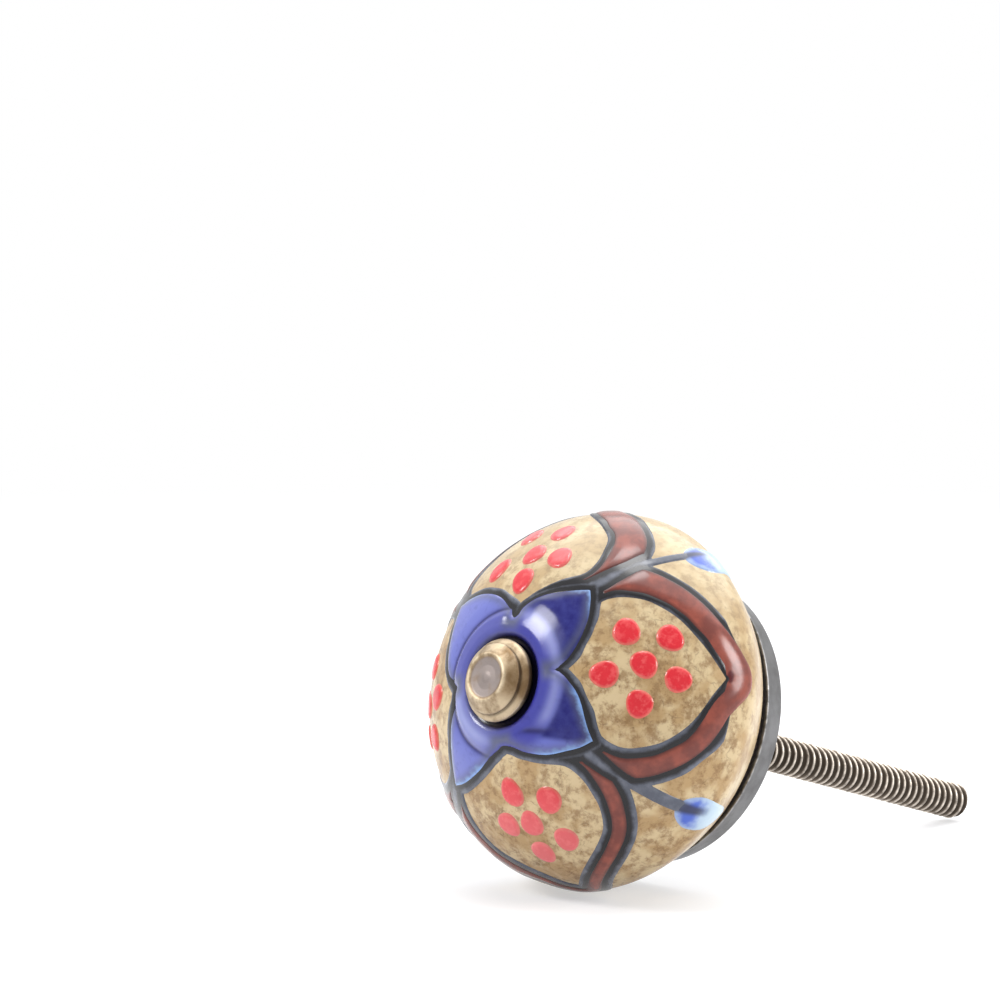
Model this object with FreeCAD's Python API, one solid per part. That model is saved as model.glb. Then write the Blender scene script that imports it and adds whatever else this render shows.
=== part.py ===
# Painted ceramic cabinet knob on a threaded rod, in millimetres.
# The knob is fixed to an upright door: +Z is up, the front of the knob looks along -Y,
# and the rod runs back along +Y. The origin is on the rod's axis, in the plane of the
# back plate's rear face, which bears on the door. A height is a distance from that plane
# towards the front, so a point at height h has y = -h.
import FreeCAD, Part
import math
import os

from FreeCAD import Vector

# Ceramic body
body_radius = 18.95          # widest circle
widest_height = 10.5         # plane of the widest circle
dome_depth = 14.75           # widest circle to the front pole
rear_edge_radius = 15.15     # where the flank ends, above the rim of the plate
flank_bulge = 0.6            # how far the rear flank swells beyond a straight cone
rear_edge_round = 0.45
foot_radius = 13.5           # plain foot that stands in the plate
foot_round = 0.4
body_lift = 0.57             # the hole is off the middle: the dome stands this much higher
bore_radius = 2.5            # cast hole for the rod
seat_radius = 4.6            # sunk seat of the front button
seat_depth = 0.75            # below the front pole

# Back plate, a pressed dish
plate_rear_radius = 14.6
plate_mouth_radius = 15.35
plate_height = 3.05
plate_sheet = 0.8
plate_lip_round = 0.3
plate_corner_round = 0.5
plate_hole_clearance = 0.25

# Fibre gasket between the rim of the plate and the ceramic
gasket_thickness = 0.4
gasket_set_back = 0.35       # inside the mouth radius of the plate

# Rod and nut
rod_radius = 2.0
rod_length_behind = 49.6     # free end, measured from the mounting face
rod_end_chamfer = 0.6
rod_in_button = 2.2          # how far the rod is screwed into the button
thread_pitch = 1.058         # 24 to the inch
thread_depth = 0.42
thread_crest_share = 0.25    # of the pitch is level at the crest, and at the root
thread_root_share = 0.2
nut_across_flats = 7.0
nut_thickness = 3.2
nut_gap = 8.8                # from the mounting face to the nut
nut_turn = 11.0
nut_chamfer = 0.45

# Front button, turned brass
button_base_radius = 3.6
button_edge_radius = 4.13
button_edge_height = 0.65    # all button heights are from its seat
button_edge_thickness = 0.4
button_groove_radius = 3.38
button_groove_height = 1.55
button_shoulder_radius = 3.5
button_shoulder_height = 1.8
button_neck_radius = 2.95
button_neck_height = 2.4
button_rim_radius = 2.5
button_rim_height = 2.83
button_rim_width = 0.3
button_dish_depth = 0.15

# Coloured enamel, raised on the ceramic
enamel_height = 0.3
pattern_turn = 12.5          # the painter's start, turned from the side towards the top
petal_count = 4
seat_margin = 0.15           # bare ring round the seat

petal_tip = 12.3
petal_side = (8.5, 3.75)
petal_notch_radius = 6.5
petal_notch_angle = 41.5
petal_line = 0.8             # width of the dark line round a petal
petal_overlap = 0.5          # degrees by which the dark zones of two petals run together

arch_view_angle = 55.0       # an arch is drawn flat, as seen at this angle from the axis
field_half_width = 7.0
field_tip = 8.0
arch_shoulder = -1.4
arch_top = -10.0
arch_side = (0.72, 0.53)     # where the curve passes, as shares of half width and tip
inner_line = 0.9
band_width = 2.0
outer_line = 0.9
inner_line_tip = 0.6
band_tip = 2.1
outer_line_tip = 0.6
sector_line = 0.5            # half of the dark line where two arches meet

dot_radius = 1.25
dot_ring_radius = 3.55
dot_count = 5
dot_turn = 35.0              # the ring starts this far round from across the arch

stem_view_angle = 82.0
stem_half_width = 0.5
stem_start = -9.5
stem_end = 3.0
drop_middle = 4.9
drop_half_length = 2.7
drop_half_width = 1.35


AXIS = Vector(0, 1, 0)
ORIGIN = Vector(0, 0, 0)
REACH = 3 * (body_radius + dome_depth)
BODY_CENTRE = Vector(0, -widest_height, body_lift)
DOME_POINTS = 6              # points that the side view is drawn through
FLANK_POINTS = 3
GROWN_POINTS = 15


def profile_point(radius, height):
    return Vector(radius, -height, 0)


def revolve_outline(edges, lift=0.0):
    """A closed outline, drawn as radius and height, turned about the rod's direction."""
    face = Part.Face(Part.Wire(Part.__sortEdges__(edges)))
    solid = face.revolve(ORIGIN, AXIS, 360)
    solid.translate(Vector(0, 0, lift))
    return solid


def polyline(points):
    return [Part.LineSegment(a, b).toShape() for a, b in zip(points, points[1:])]


def cylinder(radius, low, high, lift=0.0):
    return Part.makeCylinder(radius, high - low, Vector(0, -low, lift), Vector(0, -1, 0))


def round_rings(solid, ring_specs):
    """Rounds the circular edges given as (height, radius of ring, fillet)."""
    for height, ring, fillet in ring_specs:
        edges = []
        for edge in solid.Edges:
            if edge.Degenerated or not isinstance(edge.Curve, Part.Circle):
                continue
            same_height = abs(edge.Curve.Center.y + height) < 1e-4
            if same_height and abs(edge.Curve.Radius - ring) < 1e-4:
                edges.append(edge)
        solid = solid.makeFillet(fillet, edges)
    return solid


# Ceramic body

rear_edge_height = plate_height + gasket_thickness
flank_drop = widest_height - rear_edge_height


def flank_point(share):
    """The rear flank: a cone from the widest circle to the rear edge, slightly swollen."""
    radius = body_radius + (rear_edge_radius - body_radius) * share
    swell = 4 * flank_bulge * share * (1 - share)
    return radius + swell, -flank_drop * share


def body_outline(grow=0.0):
    """The side view of the ceramic from the pole to the rear edge, as one smooth curve."""
    points = []
    for number in range(DOME_POINTS):
        turn = math.radians(90 * number / DOME_POINTS)
        points.append((body_radius * math.sin(turn), dome_depth * math.cos(turn)))
    for number in range(FLANK_POINTS + 1):
        points.append(flank_point(number / FLANK_POINTS))
    curve = Part.BSplineCurve()
    on_axis = Vector(1, 0, 0)
    places = [profile_point(r, widest_height + z) for r, z in points]
    last = places[-1] - places[-2]
    curve.interpolate(Points=places, InitialTangent=on_axis, FinalTangent=last)
    if grow == 0.0:
        return curve
    moved = []
    span = curve.LastParameter - curve.FirstParameter
    for step in range(GROWN_POINTS):
        place = curve.FirstParameter + span * step / (GROWN_POINTS - 1)
        along = Vector(*curve.tangent(place)[0])
        outward = Vector(-along.y, along.x, 0)
        moved.append(curve.value(place) - outward * grow)
    larger = Part.BSplineCurve()
    larger.interpolate(Points=moved, InitialTangent=on_axis, FinalTangent=last)
    return larger


def body_blank(grow=0.0):
    """The outer form without its hole, down to the rear edge."""
    curve = body_outline(grow)
    pole = curve.value(curve.FirstParameter)
    rim = curve.value(curve.LastParameter)
    edges = [curve.toShape()]
    edges += polyline([rim, Vector(0, rim.y, 0), pole])
    return revolve_outline(edges, body_lift)


def ceramic_body():
    pole_height = widest_height + dome_depth
    floor = pole_height - seat_depth
    body = body_blank()
    body = round_rings(body, [(rear_edge_height, rear_edge_radius, rear_edge_round)])
    foot = cylinder(foot_radius, plate_sheet, rear_edge_height, body_lift)
    foot = round_rings(foot, [(plate_sheet, foot_radius, foot_round)])
    body = body.fuse(foot).removeSplitter()
    body = body.cut(cylinder(seat_radius, floor, floor + REACH))
    return body.cut(cylinder(bore_radius, -REACH, REACH))


# Back plate and gasket

def back_plate():
    outer = [
        profile_point(0, 0),
        profile_point(plate_rear_radius, 0),
        profile_point(plate_mouth_radius, plate_height),
        profile_point(plate_mouth_radius - plate_sheet, plate_height),
        profile_point(plate_rear_radius - plate_sheet, plate_sheet),
        profile_point(0, plate_sheet),
    ]
    dish = revolve_outline(polyline(outer + outer[:1]), body_lift)
    mouth_inner = plate_mouth_radius - plate_sheet
    dish = round_rings(dish, [
        (0.0, plate_rear_radius, plate_corner_round),
        (plate_height, plate_mouth_radius, plate_lip_round),
        (plate_height, mouth_inner, plate_lip_round),
    ])
    return dish.cut(cylinder(rod_radius + plate_hole_clearance, -REACH, REACH))


def gasket():
    outer = plate_mouth_radius - gasket_set_back
    ring = cylinder(outer, plate_height, rear_edge_height, body_lift)
    return ring.cut(cylinder(foot_radius, -REACH, REACH, body_lift))


# Rod, nut and button

button_seat = widest_height + dome_depth - seat_depth


def thread_outline():
    """The side view of the thread behind the plate, as level ridges one pitch apart."""
    crest = thread_pitch * thread_crest_share / 2
    root = thread_pitch * thread_root_share / 2
    root_radius = rod_radius - thread_depth
    points = []
    turns = int((rod_length_behind - rod_end_chamfer) / thread_pitch)
    for number in range(turns):
        middle = thread_pitch * (number + 0.5)
        points.append(profile_point(rod_radius, crest - middle + thread_pitch / 2))
        points.append(profile_point(rod_radius, -crest - middle + thread_pitch / 2))
        points.append(profile_point(root_radius, root - middle))
        points.append(profile_point(root_radius, -root - middle))
    return points[1:]


def threaded_rod():
    front = button_seat + rod_in_button
    back = rod_length_behind
    last_crest = [
        profile_point(rod_radius, -back + rod_end_chamfer),
        profile_point(rod_radius - rod_end_chamfer, -back),
        profile_point(0, -back),
    ]
    outline = [profile_point(0, front), profile_point(rod_radius, front)]
    outline += thread_outline() + last_crest
    return revolve_outline(polyline(outline + outline[:1]))


def hex_nut():
    corner = nut_across_flats / math.sqrt(3)
    points = []
    for side in range(7):
        turn = math.radians(60 * side + nut_turn)
        points.append(Vector(corner * math.cos(turn), nut_gap, corner * math.sin(turn)))
    prism = Part.Face(Part.makePolygon(points)).extrude(Vector(0, nut_thickness, 0))
    # the corners are turned back to a cone on both faces
    face_radius = nut_across_flats / 2
    run = (corner - face_radius + nut_chamfer) * math.tan(math.radians(30))
    ends = (-nut_gap, -nut_gap - nut_thickness)
    outline = [
        profile_point(0, ends[0]),
        profile_point(face_radius - nut_chamfer, ends[0]),
        profile_point(corner, ends[0] - run),
        profile_point(corner, ends[1] + run),
        profile_point(face_radius - nut_chamfer, ends[1]),
        profile_point(0, ends[1]),
    ]
    prism = prism.common(revolve_outline(polyline(outline + outline[:1])))
    return prism.cut(cylinder(rod_radius, -REACH, REACH))


def front_button():
    steps = [
        (0, 0),
        (button_base_radius, 0),
        (button_edge_radius, button_edge_height),
        (button_edge_radius, button_edge_height + button_edge_thickness),
        (button_groove_radius, button_groove_height),
        (button_shoulder_radius, button_shoulder_height),
        (button_neck_radius, button_neck_height),
        (button_rim_radius, button_rim_height),
        (button_rim_radius - button_rim_width, button_rim_height),
        (0, button_rim_height - button_dish_depth),
    ]
    points = [profile_point(r, button_seat + h) for r, h in steps]
    button = revolve_outline(polyline(points + points[:1]))
    return button.cut(cylinder(rod_radius, 0, button_seat + rod_in_button))


# Enamel: every field is a flat drawing pushed through the grown form of the ceramic

def view_axes(polar, clock):
    """Directions of a drawing seen at an angle from the front axis, on a clock angle."""
    p = math.radians(polar)
    t = math.radians(clock)
    towards = Vector(math.cos(t) * math.sin(p), -math.cos(p), math.sin(t) * math.sin(p))
    away = Vector(math.cos(t) * math.cos(p), math.sin(p), math.sin(t) * math.cos(p))
    across = Vector(-math.sin(t), 0, math.cos(t))
    return towards, away, across


def pushed(edges, axes):
    """A closed drawing of (across, away) edges, pushed from the middle of the body outwards."""
    towards, away, across = axes
    face = Part.Face(Part.Wire(Part.__sortEdges__(edges)))
    place = FreeCAD.Matrix()
    place.A11, place.A21, place.A31 = across
    place.A12, place.A22, place.A32 = away
    place.A13, place.A23, place.A33 = towards
    place.A14, place.A24, place.A34 = BODY_CENTRE
    face = face.transformGeometry(place)
    return face.extrude(towards * REACH)


def arc(a, b, c):
    return Part.Arc(Vector(*a, 0), Vector(*b, 0), Vector(*c, 0)).toShape()


def line(a, b):
    return Part.LineSegment(Vector(*a, 0), Vector(*b, 0)).toShape()


def petal_drawing(tip, side, notch_radius, notch_angle):
    turn = math.radians(notch_angle)
    notch_across = notch_radius * math.sin(turn)
    notch_away = notch_radius * math.cos(turn)
    away, across = side
    return [
        line((0, 0), (notch_across, notch_away)),
        arc((notch_across, notch_away), (across, away), (0, tip)),
        arc((0, tip), (-across, away), (-notch_across, notch_away)),
        line((-notch_across, notch_away), (0, 0)),
    ]


def arch_drawing(half_width, tip):
    side_across = arch_side[0] * half_width
    side_away = arch_side[1] * tip
    shoulder = (half_width, arch_shoulder)
    far_shoulder = (-half_width, arch_shoulder)
    return [
        arc((0, tip), (side_across, side_away), shoulder),
        line(shoulder, (half_width, arch_top)),
        line((half_width, arch_top), (-half_width, arch_top)),
        line((-half_width, arch_top), far_shoulder),
        arc(far_shoulder, (-side_across, side_away), (0, tip)),
    ]


def circle_drawing(radius, across, away):
    return [Part.Circle(Vector(across, away, 0), Vector(0, 0, 1), radius).toShape()]


def wedge(clock, half_angle, inset):
    """The slice of the knob within an angle of one direction, kept clear of its own sides."""
    reach = REACH / math.cos(math.radians(half_angle))
    start = inset / math.sin(math.radians(half_angle))
    sides = []
    for sign in (-1, 1):
        turn = math.radians(clock + sign * half_angle)
        sides.append(Vector(reach * math.cos(turn), 0, reach * math.sin(turn)))
    middle = math.radians(clock)
    apex = Vector(start * math.cos(middle), 0, start * math.sin(middle))
    corners = [apex, apex + sides[0], apex + sides[1], apex]
    slab = Part.Face(Part.makePolygon(corners)).extrude(Vector(0, -2 * REACH, 0))
    slab.translate(Vector(0, REACH, body_lift))
    return slab


def quarter_turns(start):
    return [start + 360.0 / petal_count * number for number in range(petal_count)]


def drop_drawing(half_width, half_length, away):
    """An ellipse with its long side away from the front."""
    front = Vector(0, away + half_length, 0)
    side = Vector(half_width, away, 0)
    return [Part.Ellipse(front, side, Vector(0, away, 0)).toShape()]


def enamel_parts():
    """The raised colours: petals, arch bands, dots, drops and the dark lines round them."""
    grown = body_blank(enamel_height)
    body = body_blank()
    around_seat = cylinder(seat_radius + seat_margin, -REACH, REACH)
    inner_width = field_half_width + inner_line
    band_half_width = inner_width + band_width
    inner_tip = field_tip + inner_line_tip
    outer_tip = inner_tip + band_tip
    half_sector = 180.0 / petal_count

    petals = []
    petal_zones = []
    side_across, side_away = petal_side[1], petal_side[0]
    for clock in quarter_turns(pattern_turn + half_sector):
        axes = view_axes(0.0, clock)
        blue = petal_drawing(petal_tip, (side_away, side_across), petal_notch_radius, petal_notch_angle)
        zone = petal_drawing(
            petal_tip + petal_line,
            (side_away + petal_line / 2, side_across + petal_line),
            petal_notch_radius + petal_line, half_sector + petal_overlap)
        petals.append(pushed(blue, axes))
        petal_zones.append(pushed(zone, axes))

    bands = []
    arch_zones = []
    dots = []
    for clock in quarter_turns(pattern_turn):
        axes = view_axes(arch_view_angle, clock)
        field = pushed(arch_drawing(field_half_width, field_tip), axes)
        inner = pushed(arch_drawing(inner_width, inner_tip), axes)
        band = pushed(arch_drawing(band_half_width, outer_tip), axes)
        outer_width = band_half_width + outer_line
        outer = pushed(arch_drawing(outer_width, outer_tip + outer_line_tip), axes)
        bands.append(band.cut(inner).common(wedge(clock, half_sector, sector_line)))
        arch_zones.append(outer.cut(field).common(wedge(clock, half_sector, 0.0)))
        places = [(0.0, 0.0)]
        for number in range(dot_count):
            turn = math.radians(dot_turn + 360.0 / dot_count * number)
            places.append((dot_ring_radius * math.cos(turn), dot_ring_radius * math.sin(turn)))
        for across, away in places:
            dots.append(pushed(circle_drawing(dot_radius, across, away), axes))

    stems = []
    drops = []
    for clock in quarter_turns(pattern_turn + half_sector):
        axes = view_axes(stem_view_angle, clock)
        w = stem_half_width
        strip = [(-w, stem_start), (w, stem_start), (w, stem_end), (-w, stem_end), (-w, stem_start)]
        stems.append(pushed([line(a, b) for a, b in zip(strip, strip[1:])], axes))
        drops.append(pushed(drop_drawing(drop_half_width, drop_half_length, drop_middle), axes))

    bare_lip = cylinder(REACH, -REACH, rear_edge_height + rear_edge_round)
    skin = grown.cut([body, around_seat, bare_lip])
    petal_zone = petal_zones[0].fuse(petal_zones[1:])
    bands = [band.cut(petal_zone) for band in bands]
    dark_zone = petal_zone.fuse(arch_zones + stems)
    dark = skin.common(dark_zone).cut(bands + petals + drops)

    def enamel(zones):
        return Part.makeCompound([skin.common(zone) for zone in zones])

    return {
        "enamel_petals": enamel(petals),
        "enamel_drops": enamel(drops),
        "enamel_dots": enamel(dots),
        "enamel_bands": enamel(bands),
        "enamel_lines": dark,
    }


def write(name, shape):
    shape.exportStep(os.path.join("parts", name + ".step"))


def main():
    os.makedirs("parts", exist_ok=True)
    write("ceramic_body", ceramic_body())
    write("back_plate", back_plate())
    write("gasket", gasket())
    write("threaded_rod", threaded_rod())
    write("hex_nut", hex_nut())
    write("front_button", front_button())
    for name, shape in enamel_parts().items():
        write(name, shape)


main()
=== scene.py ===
import math
import bpy
import numpy as np
from mathutils import Matrix, Vector


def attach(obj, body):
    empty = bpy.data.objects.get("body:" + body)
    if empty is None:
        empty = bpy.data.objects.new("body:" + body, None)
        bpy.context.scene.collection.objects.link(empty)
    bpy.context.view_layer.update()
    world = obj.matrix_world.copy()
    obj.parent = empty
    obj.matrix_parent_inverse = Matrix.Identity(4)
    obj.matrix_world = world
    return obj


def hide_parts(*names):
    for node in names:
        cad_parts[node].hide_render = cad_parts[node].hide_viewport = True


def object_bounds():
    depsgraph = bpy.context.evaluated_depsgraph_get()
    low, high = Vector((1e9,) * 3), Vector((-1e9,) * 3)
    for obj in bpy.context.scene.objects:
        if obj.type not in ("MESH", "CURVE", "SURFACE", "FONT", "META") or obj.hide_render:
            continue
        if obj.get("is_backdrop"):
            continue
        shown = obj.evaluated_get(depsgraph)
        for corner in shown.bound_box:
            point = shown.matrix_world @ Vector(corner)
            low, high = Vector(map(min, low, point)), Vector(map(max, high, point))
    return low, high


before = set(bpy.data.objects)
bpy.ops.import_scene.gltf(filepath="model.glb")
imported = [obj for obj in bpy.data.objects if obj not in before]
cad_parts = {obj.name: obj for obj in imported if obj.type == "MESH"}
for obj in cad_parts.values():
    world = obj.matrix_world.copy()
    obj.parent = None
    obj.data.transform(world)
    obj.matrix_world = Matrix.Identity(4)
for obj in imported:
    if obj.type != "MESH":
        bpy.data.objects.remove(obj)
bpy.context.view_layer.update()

mm = 0.001


def srgb(red, green, blue):
    def linear(value):
        value /= 255
        return value / 12.92 if value <= 0.04045 else ((value + 0.055) / 1.055) ** 2.4
    return (linear(red), linear(green), linear(blue), 1.0)


class Wire:                                   # a socket that takes part in sums
    def __init__(self, tree, socket):
        self.tree, self.socket = tree, socket

    def math(self, operation, *others):
        node = self.tree.nodes.new("ShaderNodeMath")
        node.operation = operation
        for place, value in enumerate((self,) + others):
            plug(self.tree, value, node.inputs[place])
        return Wire(self.tree, node.outputs[0])

    def __add__(self, other):
        return self.math("ADD", other)

    def __sub__(self, other):
        return self.math("SUBTRACT", other)

    def __rsub__(self, other):
        return (self * -1.0) + other

    def __mul__(self, other):
        return self.math("MULTIPLY", other)

    __radd__ = __add__
    __rmul__ = __mul__

    def highest(self, other):
        return self.math("MAXIMUM", other)

    def ramp(self, low, high):                # 0 at low, 1 at high, eased
        node = self.tree.nodes.new("ShaderNodeMapRange")
        node.interpolation_type = "SMOOTHSTEP"
        plug(self.tree, self, node.inputs["Value"])
        plug(self.tree, low, node.inputs["From Min"])
        plug(self.tree, high, node.inputs["From Max"])
        return Wire(self.tree, node.outputs[0])


def plug(tree, value, socket):
    if isinstance(value, Wire):
        tree.links.new(value.socket, socket)
    else:
        socket.default_value = value


class Finish:                                 # one material, or the world, and its nodes
    def __init__(self, name, owner=None):
        self.material = owner or bpy.data.materials.new(name)
        self.material.use_nodes = True
        self.tree = self.material.node_tree
        self.tree.nodes.clear()

    def node(self, kind, settings=None, sockets=None, out=0):
        made = self.tree.nodes.new(kind)
        for name, value in (settings or {}).items():
            if name == "stops":
                stops = made.color_ramp.elements
                while len(stops) > 1:
                    stops.remove(stops[-1])
                stops[0].position, stops[0].color = value[0]
                for place, color in value[1:]:
                    stops.new(place).color = color
            else:
                setattr(made, name, value)
        for name, value in (sockets or {}).items():
            plug(self.tree, value, made.inputs[name])
        return Wire(self.tree, made.outputs[out])

    def here(self):
        return self.node("ShaderNodeTexCoord", out=3)

    def attribute(self, name):
        return self.node("ShaderNodeAttribute", {"attribute_name": name}, out=2)

    def noise(self, size, detail=2.0, rough=0.5, where=None):
        return self.node("ShaderNodeTexNoise", None, {
            "Vector": where or self.here(), "Scale": 1 / (size * mm), "Detail": detail, "Roughness": rough})

    def shifted(self, x, y, z):               # Object coordinates moved by millimetres
        return self.node("ShaderNodeVectorMath", {"operation": "ADD"},
                         {0: self.here(), 1: (x * mm, y * mm, z * mm)})

    def spun(self, across, along, scale, detail):   # fine turned rings round the screw's axis
        stretched = self.node("ShaderNodeVectorMath", {"operation": "MULTIPLY"},
                              {0: self.here(), 1: (across, along, across)})
        return self.node("ShaderNodeTexNoise", None, {"Vector": stretched, "Scale": scale, "Detail": detail})

    def mix(self, share, first, second, blend="MIX"):
        return self.node("ShaderNodeMix", {"data_type": "RGBA", "blend_type": blend},
                         {0: share, 6: first, 7: second}, out=2)

    def bump(self, height, depth):
        return self.node("ShaderNodeBump", None, {"Height": height, "Distance": depth * mm, "Strength": 1.0})

    def glaze(self, color, coat, rough, normal):   # a matt colour under a clear coat
        return self.surface(base_color=color, roughness=0.5, specular_ior_level=0.0, coat_weight=coat,
                            coat_ior=1.42, coat_roughness=rough, normal=normal)

    def surface(self, **sockets):
        names = {key: key.replace("_", " ").title().replace("Ior", "IOR") for key in sockets}
        shader = self.node("ShaderNodeBsdfPrincipled", None,
                           {names[key]: value for key, value in sockets.items()})
        self.close(shader)
        return self.material

    def close(self, shader):
        end = self.tree.nodes.new("ShaderNodeOutputMaterial")
        self.tree.links.new(shader.socket, end.inputs["Surface"])


def deselect():
    if bpy.context.object and bpy.context.object.mode != "OBJECT":
        bpy.ops.object.mode_set(mode="OBJECT")
    bpy.ops.object.select_all(action="DESELECT")


def use(piece):
    deselect()
    piece.select_set(True)
    bpy.context.view_layer.objects.active = piece


def places(piece):
    flat = np.zeros(len(piece.data.vertices) * 3)
    piece.data.vertices.foreach_get("co", flat)
    return flat.reshape(-1, 3)


def moveTo(piece, spots):
    piece.data.vertices.foreach_set("co", spots.ravel())
    piece.data.update()


def note(piece, fact, values):                # a number at every point, for a material
    layer = piece.data.attributes.new(fact, "FLOAT", "POINT")
    layer.data.foreach_set("value", values.astype(np.float32))


def dress(piece, material, slotName, *nodes):
    piece.data.materials.clear()
    piece.data.materials.append(material)
    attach(piece, "root")
    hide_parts(*nodes)
    print("made", piece.name, len(piece.data.polygons), "faces")


def smooth(piece, degrees=40):
    use(piece)
    bpy.ops.object.shade_smooth_by_angle(angle=math.radians(degrees))


def eased(values, low, high):                 # 0 at low, 1 at high, smooth at both ends
    share = np.clip((values - low) / (high - low), 0, 1)
    return share * share * (3 - 2 * share)


def bell(values, middle, half):               # 1 at the middle, falling off on both sides
    return np.exp(-((values - middle) / half) ** 2)


def walk(points):                             # how far along the line each point lies
    return np.r_[0, np.cumsum(np.hypot(*np.diff(points, axis=0).T))]


def even(points, spacing):                    # the same polyline with even steps
    points = np.array(points, float)
    walked = walk(points)
    steps = np.linspace(0, walked[-1], max(2, int(round(walked[-1] / spacing)) + 1))
    return np.c_[np.interp(steps, walked, points[:, 0]), np.interp(steps, walked, points[:, 1])]


def softened(points, reach, spacing=0.05, closed=False):
    points = even(points, spacing)
    count = int(reach / spacing)
    if count < 1:
        return points
    if closed:
        padded = np.r_[points[-count - 1:-1], points, points[1:count + 1]]
    else:
        head = points[count:0:-1] * (-1, 1)   # the curve goes on past the axis
        tail = points[-2:-count - 2:-1] * (-1, 1)
        padded = np.r_[head, points, tail]
    weights = np.hanning(2 * count + 3)[1:-1]
    weights /= weights.sum()
    return np.c_[np.convolve(padded[:, 0], weights, "valid"),
                 np.convolve(padded[:, 1], weights, "valid")]


def turned(name, profile, steps, lift=0.0):   # a closed outline of (radius, height), spun
    deselect()
    profile = np.array(profile, float)
    bpy.ops.mesh.primitive_circle_add(vertices=len(profile), radius=1)
    piece = bpy.context.object
    piece.name = name
    moveTo(piece, np.c_[profile[:, 0], -profile[:, 1], np.zeros(len(profile))] * mm)
    bpy.ops.object.mode_set(mode="EDIT")
    bpy.ops.mesh.select_all(action="SELECT")
    bpy.ops.mesh.spin(steps=steps, angle=2 * math.pi, center=(0, 0, 0), axis=(0, 1, 0))
    bpy.ops.mesh.select_all(action="SELECT")
    bpy.ops.mesh.remove_doubles(threshold=0.0005 * mm)
    bpy.ops.mesh.normals_make_consistent(inside=False)
    bpy.ops.object.mode_set(mode="OBJECT")
    moveTo(piece, places(piece) + (0, 0, lift * mm))
    return piece


def wrapped(name, segments, rings):           # a sheet to be wrapped round the knob's axis
    deselect()
    bpy.ops.mesh.primitive_grid_add(x_subdivisions=segments, y_subdivisions=rings, size=1)
    wrap = bpy.context.object
    wrap.name = name
    spots = places(wrap)
    return wrap, np.clip(spots[:, 1] + 0.5, 0, 1), -2 * math.pi * spots[:, 0]


def weld(piece, turnOut=False):               # joins the seam and the poles
    use(piece)
    bpy.ops.object.mode_set(mode="EDIT")
    bpy.ops.mesh.select_all(action="SELECT")
    bpy.ops.mesh.remove_doubles(threshold=0.001 * mm)
    if turnOut:
        bpy.ops.mesh.normals_make_consistent(inside=False)
    bpy.ops.object.mode_set(mode="OBJECT")


def waves(x, y, z, size, seed):               # a smooth, hand-like unevenness from -1 to 1
    total = np.zeros_like(x)
    for number in range(5):
        a, b, c = (math.sin(seed + 1.7 * number + k * 2.1) for k in range(3))
        turn = 2 * math.pi / size / (1 + 0.35 * number)
        total += np.sin(turn * (a * x + b * y + c * z) * 1.3 + seed * (number + 1))
    return total / 5


print("camera and room")

cameraLook = {"place": (250.3, -281.0, -23.2), "lens": 133.2, "sensor": 36, "seesFrom": 0.01, "seesTo": 20,
              "towards": (-0.7016, 0.7037, 0.1124), "up": (-0.0584, -0.2140, 0.9751)}
roomLook = {"floorNormal": (0, -0.2716, 0.9624), "floorDepth": 15.4, "floorSize": 4, "worldLight": 0.46,
            "floorShow": 0.5, "whiteAway": (0.12, 0.5), "white": (1, 1, 1, 1),
            "matt": (0.85, 0.85, 0.86, 1), "pale": (0.55, 0.55, 0.56, 1)}
lampLook = {   # the direction from the knob to the lamp, how far, how wide, and the power
    "middle": (0, -0.01, 0),
    "soft key": ((-0.45, -0.78, 0.44), 0.7, 0.22, 2.5),
    "ceiling": ((-0.12, 0.12, 0.98), 0.7, 1.2, 7.2),
    "soft top": ((-0.10, -0.20, 0.97), 0.6, 0.2, 0.8),
    "soft right": ((0.74, 0.44, 0.50), 0.7, 0.28, 2.6),
}

towards = Vector(cameraLook["towards"]).normalized()
right = towards.cross(Vector(cameraLook["up"])).normalized()
upward = right.cross(towards)
deselect()
bpy.ops.object.camera_add()
camera = bpy.context.object
spot = Vector(cameraLook["place"]) * mm
camera.matrix_world = Matrix((
    (right.x, upward.x, -towards.x, spot.x),
    (right.y, upward.y, -towards.y, spot.y),
    (right.z, upward.z, -towards.z, spot.z),
    (0, 0, 0, 1)))
camera.data.lens = cameraLook["lens"]
camera.data.sensor_width = cameraLook["sensor"]
camera.data.clip_start = cameraLook["seesFrom"]
camera.data.clip_end = cameraLook["seesTo"]
bpy.context.scene.camera = camera
bpy.context.scene.view_settings.view_transform = "Standard"


def seenWhite(finish):                        # 1 for rays that show the background
    path = finish.tree.nodes.new("ShaderNodeLightPath")
    rays = [Wire(finish.tree, path.outputs[name])
            for name in ("Is Camera Ray", "Is Glossy Ray", "Is Transmission Ray")]
    return rays[0].highest(rays[1]).highest(rays[2])


world = bpy.data.worlds.new("white room")
bpy.context.scene.world = world
room = Finish("white room", world)
strength = seenWhite(room) * (1 - roomLook["worldLight"]) + roomLook["worldLight"]
glow = room.node("ShaderNodeBackground", None, {"Color": roomLook["white"], "Strength": strength})
worldEnd = room.tree.nodes.new("ShaderNodeOutputWorld")
room.tree.links.new(glow.socket, worldEnd.inputs["Surface"])

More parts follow.
